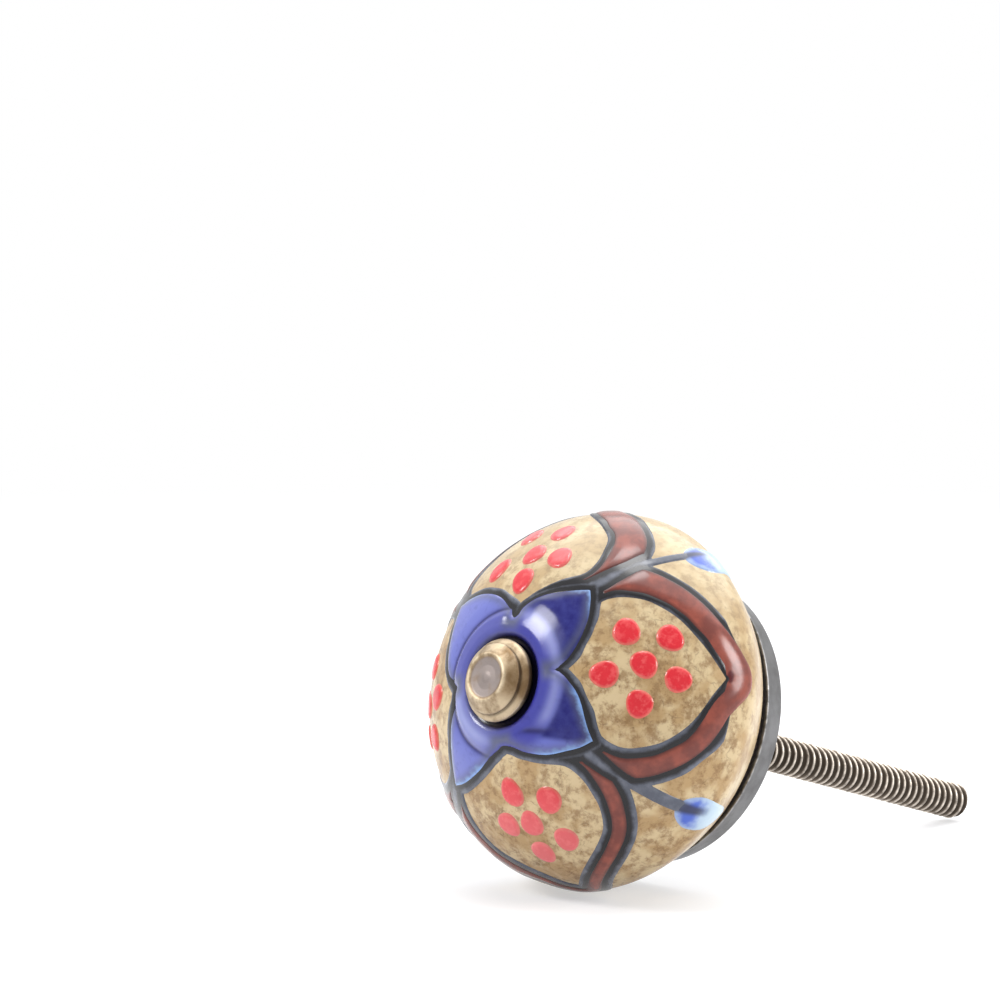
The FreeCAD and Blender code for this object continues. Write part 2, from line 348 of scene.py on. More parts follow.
floorUp = Vector(roomLook["floorNormal"]).normalized()
deselect()
bpy.ops.mesh.primitive_plane_add(size=roomLook["floorSize"])
floor = bpy.context.object
floor.name = "floor"
floor.matrix_world = (Matrix.Translation(floorUp * -roomLook["floorDepth"] * mm)
                      @ floorUp.to_track_quat("Z", "Y").to_matrix().to_4x4())
sheet = Finish("floor sheet")
matt = sheet.node("ShaderNodeBsdfDiffuse", None, {"Color": roomLook["matt"]})
pale = sheet.node("ShaderNodeBsdfDiffuse", None, {"Color": roomLook["pale"]})
lit = sheet.node("ShaderNodeEmission", None, {"Color": roomLook["white"], "Strength": roomLook["floorShow"]})
near = sheet.node("ShaderNodeAddShader", None, {0: pale, 1: lit})
away = sheet.node("ShaderNodeVectorMath", {"operation": "LENGTH"}, {0: sheet.here()}, out=1)
white = sheet.node("ShaderNodeEmission", None, {"Color": roomLook["white"], "Strength": 1.0})
shown = sheet.node("ShaderNodeMixShader", None, {0: away.ramp(*roomLook["whiteAway"]), 1: near, 2: white})
fromAbove = sheet.node("ShaderNodeMixShader", None, {0: seenWhite(sheet), 1: matt, 2: shown})
clear = sheet.node("ShaderNodeBsdfTransparent")
behind = sheet.node("ShaderNodeNewGeometry", out=6)   # seen from below, the floor isn't there
sheet.close(sheet.node("ShaderNodeMixShader", None, {0: behind, 1: fromAbove, 2: clear}))
floor.data.materials.append(sheet.material)
floor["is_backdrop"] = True


def lamp(name):
    direction, distance, size, power = lampLook[name]
    deselect()
    direction = Vector(direction).normalized()
    bpy.ops.object.light_add(type="AREA")
    made = bpy.context.object
    made.name = name
    made.matrix_world = (Matrix.Translation(direction * distance + Vector(lampLook["middle"]))
                         @ direction.to_track_quat("Z", "Y").to_matrix().to_4x4())
    made.data.shape = "DISK"
    made.data.size = size
    made.data.energy = power
    made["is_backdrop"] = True


for name in ("soft key", "ceiling", "soft top", "soft right"):
    lamp(name)


print("ceramic body")

bodyLook = {
    "radius": 18.95, "widest": 10.5, "depth": 14.75, "rear": 3.72, "lift": 0.57,
    "flank": (-10.1, 12.6, -6.45),            # powers 2 to 4 of the way down the flank
    "foot": 13.5, "footEnd": 0.8, "round": 0.45,
    "seat": 4.6, "seatSlope": 0.8, "seatFloor": 24.48,
    "uneven": 0.03, "trueFrom": 15.2,         # nothing bulges outwards past this radius
    "under": 0.01,                            # the glaze lies this much under the enamels
    "segments": 400, "rings": 240, "seenRings": 0.85,
}
farOff = 9.0                                  # mm, for what lies away from every line


def sideView():                               # (radius, height) from the pole to the edge
    turn = np.linspace(0, math.pi / 2, 160)
    dome = np.c_[bodyLook["radius"] * np.sin(turn), bodyLook["widest"] + bodyLook["depth"] * np.cos(turn)]
    way = np.linspace(0, 1, 80)[1:]
    second, third, fourth = bodyLook["flank"]
    radius = bodyLook["radius"] + second * way ** 2 + third * way ** 3 + fourth * way ** 4
    height = bodyLook["widest"] - (bodyLook["widest"] - bodyLook["rear"]) * way
    return np.r_[dome, np.c_[radius, height]]


def stations(profile, share):                 # place and outward normal at shares of its length
    walked = walk(profile)
    at = share * walked[-1]
    radius = np.interp(at, walked, profile[:, 0])
    height = np.interp(at, walked, profile[:, 1])
    slope = np.gradient(profile, walked, axis=0)
    along = np.c_[np.interp(at, walked, slope[:, 0]), np.interp(at, walked, slope[:, 1])]
    along /= np.linalg.norm(along, axis=1)[:, None]
    return radius, height, -along[:, 1], along[:, 0]


def laid(radius, height, outR, outH, clock, grow):
    radius = radius + outR * grow
    height = height + outH * grow
    return np.c_[radius * np.cos(clock), -height, radius * np.sin(clock) + bodyLook["lift"]]


def sinking(fromScrew, height):               # how far the glaze drops into the button's seat
    share = eased(bodyLook["seat"] + bodyLook["seatSlope"] / 2 - fromScrew, 0, bodyLook["seatSlope"])
    return share * np.maximum(height - bodyLook["seatFloor"], 0)


foot = [(bodyLook["foot"], bodyLook["rear"]), (bodyLook["foot"], bodyLook["footEnd"]),
        (0, bodyLook["footEnd"])]
bodySide = softened(np.r_[sideView(), foot], bodyLook["round"])

body, ring, clock = wrapped("ceramicBody", bodyLook["segments"], bodyLook["rings"])
seenLength = walk(sideView())[-1] / walk(bodySide)[-1]
seen = bodyLook["seenRings"]
share = np.where(ring < seen, ring / seen * seenLength,
                 seenLength + (ring - seen) / (1 - seen) * (1 - seenLength))
radius, height, outR, outH = stations(bodySide, share)
outR = np.where(ring <= 0, 0, outR)
uneven = waves(radius * np.cos(clock), height, radius * np.sin(clock), 14, 3.0) * bodyLook["uneven"]
uneven = np.where(radius > bodyLook["trueFrom"], np.minimum(uneven, 0), uneven) - bodyLook["under"]
spots = laid(radius, height, outR, outH, clock, uneven)
fromScrew = np.hypot(spots[:, 0], spots[:, 2])
spots[:, 1] += sinking(fromScrew, -spots[:, 1])
moveTo(body, spots * mm)
# fromScrew is small only in the seat, where the glaze is painted near black as shade under the button
note(body, "fromScrew", fromScrew + (spots[:, 1] > -20) * farOff)   # small in the seat only
weld(body)
smooth(body, 60)


print("painted pattern")

patternLook = {
    "lowLine": 0.3, "highBand": 0.4, "leftBand": 0.7, "outerLine": 0.8,
    "petalLine": 0.72, "blueRing": 6.3, "rim": 3.6, "merge": 0.9,
    "joinLine": 0.42, "joinSwell": 0.3, "dot": 1.3,
    "tip": (18.2, 3.5, 2.9), "mark": (18.3, 3.75, 2.6),   # side, up and front, on the east arch
    "archReach": (16, 14), "petalReach": 15.5, "stemReach": 8, "stemPolar": 75,
    "dropHalf": 2.0, "dropLong": 3.6, "dropTaper": 0.17, "dropScale": 1.7,
    "segments": 720, "rings": 250, "start": 3.2, "stop": 0.985,
}
wobbles = {   # how far apart the waves are, their seed, and how much they move a line
    "field": (5.0, 1.0, 0.07), "petal": (4.0, 2.0, 0.06), "bandEdge": (7.0, 4.0, 0.12),
    "lineEdge": (3.5, 5.0, 0.1), "petalEdge": (3.0, 6.0, 0.15), "darkArch": (4.0, 7.0, 0.1),
}
arches = {   # seen flat at an angle from the front and on a clock angle: across, away
    "east": {"polar": 55, "clock": 0, "line": 0.45, "band": 2.15,
             "right": [(1.3, -7.5), (2.9, -6.5), (5.4, -5.7), (8.0, -5.1), (9.1, -3.6), (9.5, -1.6),
                       (9.2, 0.4), (8.1, 2.8), (6.4, 5.0), (4.7, 6.9), (3.5, 8.1)],
             "left": [(3.5, 8.1), (1.8, 7.0), (-0.3, 5.9), (-2.2, 4.6), (-3.8, 2.8), (-4.8, 0.6),
                      (-4.9, -1.2), (-4.3, -2.7), (-3.2, -3.8), (-1.6, -4.6), (-0.3, -5.7), (1.3, -7.5)],
             "dots": [(1.6, -3.6), (6.0, -2.2), (-0.6, 0.0), (3.2, -0.2), (6.2, 1.9), (2.4, 3.2)]},
    "low": {"polar": 60, "clock": -77, "line": 0.45, "band": 1.5,
            "right": [(0.4, -8.3), (1.8, -7.3), (4.0, -6.5), (6.2, -5.7), (7.3, -4.3), (7.8, -2.6),
                      (7.9, -1.0), (7.2, 0.9), (5.6, 2.4), (3.4, 4.0), (1.5, 5.5), (-0.4, 7.4)],
            "left": [(-0.4, 7.4), (-1.6, 6.2), (-3.0, 4.5), (-5.2, 2.8), (-7.2, 1.3), (-8.4, -0.8),
                     (-8.7, -2.8), (-8.3, -4.4), (-6.6, -5.4), (-4.2, -6.4), (-1.6, -7.3), (0.4, -8.3)],
            "dots": [(-0.7, -4.8), (3.3, -3.5), (-2.8, -1.8), (0.2, -1.7), (3.1, 0.7), (-0.4, 1.6)]},
    "top": {"polar": 60, "clock": 103, "line": 0.55, "band": 2.7,
            "right": [(-0.9, -8.6), (1.0, -7.7), (3.2, -6.7), (5.6, -6.0), (7.4, -5.0), (8.4, -3.4),
                      (8.6, -1.6), (8.0, 0.4), (6.5, 2.4), (4.2, 4.2), (1.8, 5.8), (-0.2, 7.5)],
            "left": [(-0.2, 7.5), (-1.6, 5.6), (-3.6, 3.6), (-5.8, 1.8), (-7.6, 0.0), (-8.2, -1.8),
                     (-8.2, -3.4), (-7.4, -4.9), (-5.2, -6.0), (-3.0, -7.2), (-0.9, -8.6)],
            "dots": [(-0.6, -6.0), (-4.0, -3.6), (-0.5, -3.0), (3.9, -3.7), (-2.2, 0.1), (2.2, 0.6)]},
    "west": {"polar": 60, "clock": 193, "line": 0.5, "band": 1.9,
             "right": [(0.2, -8.4), (1.9, -7.4), (4.2, -6.4), (6.5, -5.6), (7.8, -4.2), (8.3, -2.4),
                       (8.1, -0.6), (7.3, 1.3), (5.6, 3.0), (3.5, 4.6), (1.6, 6.0), (0.0, 7.5)],
             "left": [(0.0, 7.5), (-1.5, 6.0), (-3.4, 4.4), (-5.6, 2.8), (-7.4, 1.0), (-8.2, -1.0),
                      (-8.2, -3.0), (-7.4, -4.8), (-5.4, -5.8), (-3.0, -6.8), (-1.2, -7.6), (0.2, -8.4)],
             "dots": [(0.2, -4.7), (3.9, -2.9), (-3.3, -2.6), (0.4, -1.4), (3.0, 1.0), (-0.8, 1.9)]},
}
petals = {   # seen from the front: towards the top, towards the right side
    "topRight": [[(0, 0), (1.5, 6.5)],
                 [(1.5, 6.5), (2.7, 7.4), (4.6, 8.0), (6.6, 8.0), (8.5, 7.4), (9.7, 6.8)],
                 [(9.7, 6.8), (9.4, 5.2), (8.9, 3.4), (8.1, 1.7), (7.2, 0.6), (6.5, 0.1)]],
    "lowRight": [[(0, 0), (-6.4, 2.0)],
                 [(-6.4, 2.0), (-6.9, 3.4), (-7.0, 5.2), (-6.7, 7.2), (-6.0, 9.3), (-4.9, 10.9)],
                 [(-4.9, 10.9), (-3.6, 10.3), (-1.8, 9.6), (-0.4, 8.7), (0.6, 7.6), (1.2, 6.5)]],
    "lowLeft": [[(0, 0), (-2.2, -6.4)],
                [(-2.2, -6.4), (-3.4, -6.6), (-5.2, -6.9), (-7.5, -7.0), (-9.5, -7.0), (-11.1, -7.0)],
                [(-11.1, -7.0), (-10.9, -5.4), (-10.3, -3.8), (-9.4, -2.2), (-8.2, -0.6), (-6.8, 0.9)]],
    "topLeft": [[(0, 0), (6.7, -0.8)],
                [(6.7, -0.8), (7.6, -2.8), (8.0, -4.9), (7.9, -7.0), (7.4, -9.0), (6.7, -10.7)],
                [(6.7, -10.7), (4.4, -10.3), (2.2, -9.8), (0.3, -9.0), (-0.9, -8.0), (-1.7, -6.8)]],
}
stems = {    # flat views at 75 degrees from the front: the line, then the drop's middle
    "low": {"clock": -35, "half": 0.64, "drop": (1.4, 4.7),
            "line": [(0.9, -7.0), (1.3, -3.0), (1.5, 0.8), (1.9, 4.6)]},
    "up": {"clock": 57, "half": 0.46, "drop": (-1.4, 4.5),
           "line": [(-0.4, -7.0), (-0.9, -2.5), (-1.0, 0.8), (-0.7, 3.8)]},
    "far": {"clock": 147, "half": 0.55, "drop": (-0.1, 4.6),
            "line": [(0.2, -7.0), (0.3, -3.0), (0.0, 0.8), (-0.4, 4.0)]},
    "under": {"clock": 237, "half": 0.6, "drop": (0.1, 4.6),
              "line": [(0.0, -7.0), (-0.4, -3.0), (-0.2, 0.8), (0.3, 4.0)]},
}


def bowed(points, steps=6):                   # a smooth line through the points
    points = np.array(points, float)
    if len(points) < 3:
        return points
    ends = np.r_[[2 * points[0] - points[1]], points, [2 * points[-1] - points[-2]]]
    drawn = []
    for number in range(len(points) - 1):
        a, b, c, d = ends[number:number + 4]
        for step in range(steps):
            t = step / steps
            drawn.append(0.5 * (2 * b + (c - a) * t + (2 * a - 5 * b + 4 * c - d) * t * t
                                + (3 * b - a - 3 * c + d) * t ** 3))
    drawn.append(points[-1])
    return np.array(drawn)


def nearest(across, away, line):              # distance to an open line
    best = np.full(across.shape, 1e9)
    for (x0, y0), (x1, y1) in zip(line, line[1:]):
        dx, dy = x1 - x0, y1 - y0
        share = np.clip(((across - x0) * dx + (away - y0) * dy) / (dx * dx + dy * dy + 1e-12), 0, 1)
        best = np.minimum(best, (across - x0 - share * dx) ** 2 + (away - y0 - share * dy) ** 2)
    return np.sqrt(best)


def within(across, away, line):               # distance to a closed line, less than 0 inside
    inside = np.zeros(across.shape, bool)
    for (x0, y0), (x1, y1) in zip(line, np.roll(line, -1, axis=0)):
        crosses = (y0 > away) != (y1 > away)
        with np.errstate(divide="ignore", invalid="ignore"):
            inside ^= crosses & (across < (x1 - x0) * (away - y0) / (y1 - y0) + x0)
    gap = nearest(across, away, np.r_[line, line[:1]])
    return np.where(inside, -gap, gap)


def flatView(side, up, front, polar, clock):  # across, away, and how far towards the viewer
    p, t = math.radians(polar), math.radians(clock)
    outwards = math.cos(t) * side + math.sin(t) * up
    across = -math.sin(t) * side + math.cos(t) * up
    return (across, math.cos(p) * outwards - math.sin(p) * front,
            math.sin(p) * outwards + math.cos(p) * front)


class Pattern:                                # distances to every line, on given points
    def __init__(self, side, up, front):
        def wobble(name):
            size, seed, amount = wobbles[name]
            return waves(side, up, front, size, seed) * amount
        k = patternLook
        far = np.full(side.shape, farOff)
        self.field, self.nextField = far.copy(), far.copy()
        inner, band = np.full(side.shape, 0.5), np.full(side.shape, 2.0)
        self.dot, self.petal, self.drop, self.stem = far.copy(), far.copy(), far.copy(), far.copy()
        x, y, z = k["tip"]
        fromTip = np.hypot(np.hypot(side - x, up - y), front - z)
        x, y, z = k["mark"]
        self.mark = np.hypot(np.hypot(side - x, front - z) / 0.36, (up - y) / 0.66) * 0.4 - 0.4
        self.dropDown = np.zeros(side.shape)
        for arch in arches.values():
            across, away, depth = flatView(side, up, front, arch["polar"], arch["clock"])
            reach, awayReach = k["archReach"]
            seen = np.flatnonzero((depth > 2) & (np.abs(across) < reach) & (away < awayReach))
            line = np.r_[bowed(arch["right"])[:-1], bowed(arch["left"])[:-1]]
            gap = far.copy()
            gap[seen] = within(across[seen], away[seen], line)
            closer = gap < self.field
            self.nextField = np.where(closer, self.field, np.minimum(self.nextField, gap))
            self.field = np.where(closer, gap, self.field)
            inner, band = np.where(closer, arch["line"], inner), np.where(closer, arch["band"], band)
            for number, (a, b) in enumerate(arch["dots"]):
                turn = np.arctan2(away - b, across - a)
                oval = 0.04 * np.sin(2 * turn + number)
                edge = k["dot"] * (1 + oval + 0.035 * np.sin(3 * turn + 2 * number))
                gap = np.where(depth > 0, np.hypot(across - a, away - b) - edge, farOff)
                self.dot = np.minimum(self.dot, gap)
        seen = np.flatnonzero((front > 0) & (np.hypot(side, up) < k["petalReach"]))
        for line in petals.values():
            line = np.concatenate([bowed(part)[:-1] for part in line])
            gap = far.copy()
            gap[seen] = within(up[seen], side[seen], line)
            self.petal = np.minimum(self.petal, gap)
        self.alone = self.petal.copy()        # the petals before they run together in the middle
        fromScrew = np.hypot(side, up + bodyLook["lift"]) + (front < 0) * farOff
        hub, merge = fromScrew - k["blueRing"], k["merge"]
        share = np.clip(0.5 + (self.petal - hub) / merge / 2, 0, 1)
        self.petal = self.petal + (hub - self.petal) * share - merge * share * (1 - share)
        for stem in stems.values():
            across, away, depth = flatView(side, up, front, k["stemPolar"], stem["clock"])
            seen = np.flatnonzero((depth > 2) & (np.abs(across) < k["stemReach"]))
            gap = far.copy()
            gap[seen] = nearest(across[seen], away[seen], bowed(stem["line"]))
            self.stem = np.minimum(self.stem, gap - stem["half"] + np.clip(away - 1, 0, 3) * 0.08)
            a, b = stem["drop"]
            width = k["dropHalf"] - np.clip(away - b + 1.5, 0, 5) * k["dropTaper"]
            down = (away - b) / k["dropLong"]
            gap = (np.hypot((across - a) / width, down) - 1) * k["dropScale"]
            gap = np.where(depth > 2, gap, farOff)
            self.dropDown = np.where(gap < self.drop, down, self.dropDown)
            self.drop = np.minimum(self.drop, gap)
        self.field = self.field + wobble("field")
        self.petal = self.petal + wobble("petal")
        below, above = np.clip(-up / 3, 0, 1), np.clip(up / 3, 0, 1)
        inner = inner + k["lowLine"] * below
        band = band + k["highBand"] * above * np.clip(side / 3, 0, 1)
        band = band + k["leftBand"] * np.clip(-side / 3, 0, 1)
        self.tip = np.clip(1 - (fromTip - 2.6) / 3.4, 0, 1)   # the dark lines thin towards the tip
        inner = inner * np.clip((fromTip - 0.3) / 1.0, 0.12, 1)
        outer = (k["outerLine"] - 0.25 * above) * (1 - self.tip)
        joinHalf = k["joinLine"] + k["joinSwell"] * np.clip(1.6 - self.petal / 2.2, 0, 1)
        middle = np.maximum((self.nextField - self.field) / 2, 0)
        outerEdge = inner + band + wobble("bandEdge")
        lineEdge = inner + wobble("lineEdge")
        self.band = np.maximum.reduce([
            lineEdge - self.field, self.field - outerEdge, joinHalf - middle,
            k["petalLine"] + 0.1 - self.petal])
        petalEdge = k["petalLine"] + wobble("petalEdge")
        darkEdge = self.field - outerEdge - outer + wobble("darkArch") + 0.3 * self.tip
        darkArch = np.maximum(-self.field, darkEdge)
        self.dark = np.minimum(np.minimum(darkArch, self.stem), self.petal - petalEdge)
        print("pattern on", side.size, "points")


# the enamels are cut from one fine sheet over the seen side of the body
blank, ring, clock = wrapped("enamelBlank", patternLook["segments"], patternLook["rings"])
start = patternLook["start"] / walk(sideView())[-1]
share = start + ring * (1 - start) * patternLook["stop"]
radius, height, outR, outH = stations(sideView(), share)
side, up, front = radius * np.cos(clock), radius * np.sin(clock), height - bodyLook["widest"]
pattern = Pattern(side, up, front)
fromScrew = np.hypot(side, up + bodyLook["lift"])
ringEdge = (ring < 0.004) | (ring > 0.996)
enamelLook = {"dive": 0.16, "cutAt": 0.24, "back": 0.35}


def pillow(gap, width, top):                  # rounded shoulder inside an edge, a dive outside
    rise = np.clip(-gap / width, 0, 1)
    dive = enamelLook["dive"]
    return np.where(gap < 0, top * np.sqrt(1 - (1 - rise) ** 2), -dive * np.clip(gap / dive, 0, 1))


def enamel(name, gap, lifted, facts, material, slotName, node):
    piece = bpy.data.objects.new(name, blank.data.copy())
    bpy.context.scene.collection.objects.link(piece)
    spots = laid(radius, height, outR, outH, clock, lifted)
    spots[:, 1] += sinking(fromScrew, height)
    moveTo(piece, spots * mm)
    for fact, values in facts.items():
        note(piece, fact, values)
    use(piece)
    bpy.ops.object.mode_set(mode="EDIT")
    bpy.ops.mesh.select_mode(type="VERT")
    bpy.ops.mesh.select_all(action="DESELECT")
    bpy.ops.object.mode_set(mode="OBJECT")
    piece.data.vertices.foreach_set("select", (gap > enamelLook["cutAt"]) | ringEdge)
    bpy.ops.object.mode_set(mode="EDIT")
    bpy.ops.mesh.delete(type="VERT")
    weld(piece)
    thick = piece.modifiers.new("back", "SOLIDIFY")
    thick.thickness = enamelLook["back"] * mm
    thick.offset = -1
    bpy.ops.object.modifier_apply(modifier="back")
    bpy.ops.object.shade_smooth()
    dress(piece, material, slotName, node)


def tanGlaze():
    look = {"base": srgb(172, 143, 101), "pale": srgb(198, 177, 139), "stain": srgb(132, 102, 68),
            "vein": srgb(78, 56, 38), "faded": srgb(208, 194, 164), "seat": srgb(14, 11, 16),
            "bend": (0.0011, 0.0011, 0.0011), "bendScale": 900.0, "crackScale": 480.0}
    finish = Finish("tan crackled glaze")
    cloud = finish.noise(3.4, 3.0, 0.55)
    patch = finish.noise(1.2, 5.0, 0.66, finish.shifted(7, 3, 1))
    fine = finish.noise(0.4, 4.0, 0.66, finish.shifted(1, 9, 4))
    back = finish.node("ShaderNodeSeparateXYZ", None, {"Vector": finish.here()}, out=1)
    strong = 1 - back.ramp(-12 * mm, -6 * mm) * 0.8   # the mottling fades towards the rear
    color = finish.mix(cloud.ramp(0.4, 0.6), look["base"], look["pale"])
    color = finish.mix(patch.ramp(0.44, 0.66) * strong * 0.75, color, look["stain"])
    color = finish.mix(fine.ramp(0.48, 0.7) * patch.ramp(0.36, 0.6) * strong * 0.6, color, look["stain"])
    bend = finish.node("ShaderNodeTexNoise", None,
                       {"Vector": finish.here(), "Scale": look["bendScale"], "Detail": 3.0}, out=1)
    bent = finish.node("ShaderNodeVectorMath", {"operation": "MULTIPLY_ADD"},
                       {0: bend, 1: look["bend"], 2: finish.here()})
    crack = finish.node("ShaderNodeTexVoronoi", {"feature": "DISTANCE_TO_EDGE"},
                        {"Vector": bent, "Scale": look["crackScale"]})
    worn = finish.noise(1.6, 3.0, 0.6, finish.shifted(3, 3, 8)).ramp(0.48, 0.64)
    vein = (1 - crack.ramp(0.0, 0.05)) * worn
    color = finish.mix(vein * strong * 0.36, color, look["vein"])
    speck = finish.noise(0.18, 3.0, 0.7, finish.shifted(5, 2, 2)).ramp(0.6, 0.7) * patch.ramp(0.4, 0.62)
    color = finish.mix(speck * strong * 0.6, color, look["vein"])
    # painted light: the glaze is mixed paler towards the top, where the light and sheen fall strongest
    high = finish.node("ShaderNodeSeparateXYZ", None, {"Vector": finish.here()}, out=2)
    color = finish.mix(high.ramp(3 * mm, 17 * mm) * 0.4, color, look["faded"])
    # painted shade: the glaze in the button's seat is mixed near black, for the shade and dark reflection
    # under the flange
    color = finish.mix(1 - finish.attribute("fromScrew").ramp(4.6, 5.0), color, look["seat"])
    relief = finish.bump(patch * 0.6 + fine * 0.4 - vein * 0.5, 0.025)
    return finish.glaze(color, 0.75, 0.18, relief)


def blueEnamel():
    look = {"ring": srgb(56, 58, 146), "lobe": srgb(90, 98, 178), "navy": srgb(16, 15, 96),
            "pale": srgb(132, 172, 232), "line": srgb(20, 18, 84), "faded": srgb(166, 174, 218),
            "grey": srgb(84, 88, 104), "dark": srgb(12, 10, 28)}
    finish = Finish("cobalt enamel")
    edge = finish.attribute("edge")
    far = finish.attribute("fromScrew")
    streak = finish.noise(0.9, 3.0, 0.6)
    color = finish.mix(far.ramp(6.8, 8.2), look["ring"], look["lobe"])
    color = finish.mix(finish.attribute("navy") * (streak * 0.4 + 0.7), color, look["navy"])
    color = finish.mix(streak.ramp(0.5, 0.75) * 0.3, color, look["navy"])
    bleed = (edge + streak * 1.2 - 0.6).ramp(-0.7, -0.1) * finish.attribute("bleed")
    color = finish.mix(bleed, color, look["pale"])
    # painted reflection: a pale blue is mixed in where the ridges catch the light
    color = finish.mix(finish.attribute("faded"), color, look["faded"])
    # painted shade: the petals' fold creases are darkened
    color = finish.mix(finish.attribute("fold"), color, look["line"])
    color = finish.mix(finish.attribute("grey"), color, look["grey"])
    # painted shade and dark reflection: the blue turns near black round the button's flange
    color = finish.mix(1 - far.ramp(4.35, 5.0), color, look["dark"])
    skin = finish.bump(finish.noise(3.2, 2.0), 0.03)
    return finish.glaze(color, 1 - finish.attribute("navy") * 0.3, 0.19, skin)


def brownEnamel():
    look = {"base": srgb(108, 52, 44), "dark": srgb(50, 22, 22), "warm": srgb(138, 68, 54),
            "mark": srgb(78, 12, 18)}
    finish = Finish("brown enamel")
    edge = finish.attribute("edge")
    patch = finish.noise(1.8, 3.0, 0.6)
    color = finish.mix(patch.ramp(0.35, 0.7), look["base"], look["warm"])
    color = finish.mix(edge.ramp(-0.5, 0.0) * 0.9, color, look["dark"])
    color = finish.mix(1 - finish.attribute("mark").ramp(-0.12, 0.1), color, look["mark"])
    skin = finish.bump(finish.noise(2.2, 2.0, 0.5, finish.shifted(4, 1, 1)), 0.05)
    return finish.glaze(color, 1.0, 0.2, skin)


def redEnamel():
    look = {"base": srgb(202, 34, 46), "pale": srgb(222, 96, 96), "rim": srgb(204, 110, 92),
            "faded": srgb(222, 134, 136)}
    finish = Finish("red enamel")
    edge = finish.attribute("edge")
    patch = finish.noise(0.8, 3.0, 0.6)
    color = finish.mix(patch.ramp(0.45, 0.7) * 0.5, look["base"], look["pale"])
    color = finish.mix((edge + patch * 0.3 - 0.15).ramp(-0.3, 0.04) * 0.8, color, look["rim"])
    # painted reflection: the dots are mixed paler towards the top and bottom of the knob
    color = finish.mix(finish.attribute("fromMiddle").ramp(7.0, 17.0) * 0.5, color, look["faded"])
    return finish.glaze(color, 1.0, 0.2, finish.bump(finish.noise(0.8, 2.0), 0.03))


def charcoalEnamel():
    look = {"base": srgb(80, 84, 96), "dark": srgb(16, 15, 20), "grey": srgb(110, 114, 126)}
    finish = Finish("charcoal enamel")
    patch = finish.noise(1.4, 4.0, 0.6)
    color = finish.mix(patch.ramp(0.4, 0.7) * 0.6, look["base"], look["grey"])
    thin = (finish.attribute("pooled") + patch * 0.4 - 0.2).ramp(0.2, 0.65)
    color = finish.mix(1 - thin, color, look["dark"])
    return finish.glaze(color, 1.0, 0.18, finish.bump(patch, 0.03))


def paleBlueEnamel():
    look = {"blue": srgb(68, 94, 186), "white": srgb(178, 198, 214), "stem": srgb(40, 42, 58)}
    finish = Finish("pale blue enamel")
    edge = finish.attribute("edge")
    down = finish.attribute("down")
    cloud = finish.noise(1.2, 3.0, 0.6)
    whiten = (down + (cloud - 0.5) * 0.6).ramp(-0.6, 0.15)
    color = finish.mix(whiten, look["blue"], look["white"])
    color = finish.mix((edge + cloud * 0.5 - 0.25).ramp(-0.5, 0.0) * 0.6, color, look["white"])
    drawnOut = (1 - finish.attribute("stem").ramp(-0.3, 0.3)) * (1 - down.ramp(-0.4, 0.15))
    color = finish.mix(drawnOut * 0.9, color, look["stem"])
    return finish.glaze(color, 1.0, 0.1, finish.bump(cloud, 0.03))


dress(body, tanGlaze(), "ceramic", "ceramic_body")

skinWave = waves(side, up, front, 4.5, 8.0) * 0.02
raised = {   # how far inside its edge an enamel is at its full height, and the height
    "petals": (0.9, 0), "bands": (1.2, 0.25), "dots": (0.6, 0.2), "drops": (0.7, 0.15), "lines": (0.3, 0.11),
}
petalLook = {"base": 0.16, "ring": 0.3, "lobe": 0.18, "foldAt": 7.2, "foldWaves": 0.3, "foldDeep": 0.06,
             "foldWide": 0.22, "diagonal": -5.3, "tilt": 0.1, "diagonalWide": 0.3, "split": 0.08}
k = petalLook
petalGap = np.maximum(pattern.petal, patternLook["rim"] - fromScrew)
split = eased(pattern.alone, -1.3, 0.3)       # the shallow valleys between the petals
rightSide = eased(side, -2.5, 2.5)
leftSide = 1 - rightSide
foldAt = k["foldAt"] + waves(side, up, front, 9.0, 2.0) * k["foldWaves"]
ringFold = bell(fromScrew, foldAt, k["foldWide"]) * leftSide
lowFold = bell(up - k["diagonal"] - k["tilt"] * side, 0, k["diagonalWide"])
lowFold = lowFold * eased(side, 0.2, 2.0) * (1 - eased(side, 5.5, 8.0))
# fold: the petals' shallow crease, also painted dark in the blue enamel as shade
fold = np.maximum(ringFold, lowFold) * (1 - eased(pattern.alone, -0.5, 0.1)) * eased(fromScrew, 5.4, 6.2)
leftRing = eased(fromScrew, 4.3, 5.6) * (1 - eased(fromScrew, foldAt - 1.0, foldAt))
rightRing = eased(fromScrew, 4.3, 5.8) * (1 - 0.75 * eased(fromScrew, 8.2, 10.2))
ring = leftRing * leftSide + rightRing * rightSide
lobe = eased(fromScrew, foldAt, foldAt + 1.8) * leftSide
petalTop = (k["base"] + k["ring"] * ring + k["lobe"] * lobe - k["foldDeep"] * fold
            - k["split"] * split * eased(fromScrew, 4.4, 5.4))
navy = rightSide * eased(fromScrew, foldAt - 0.1, foldAt + 0.6) * eased(up, -5.6, -4.9)
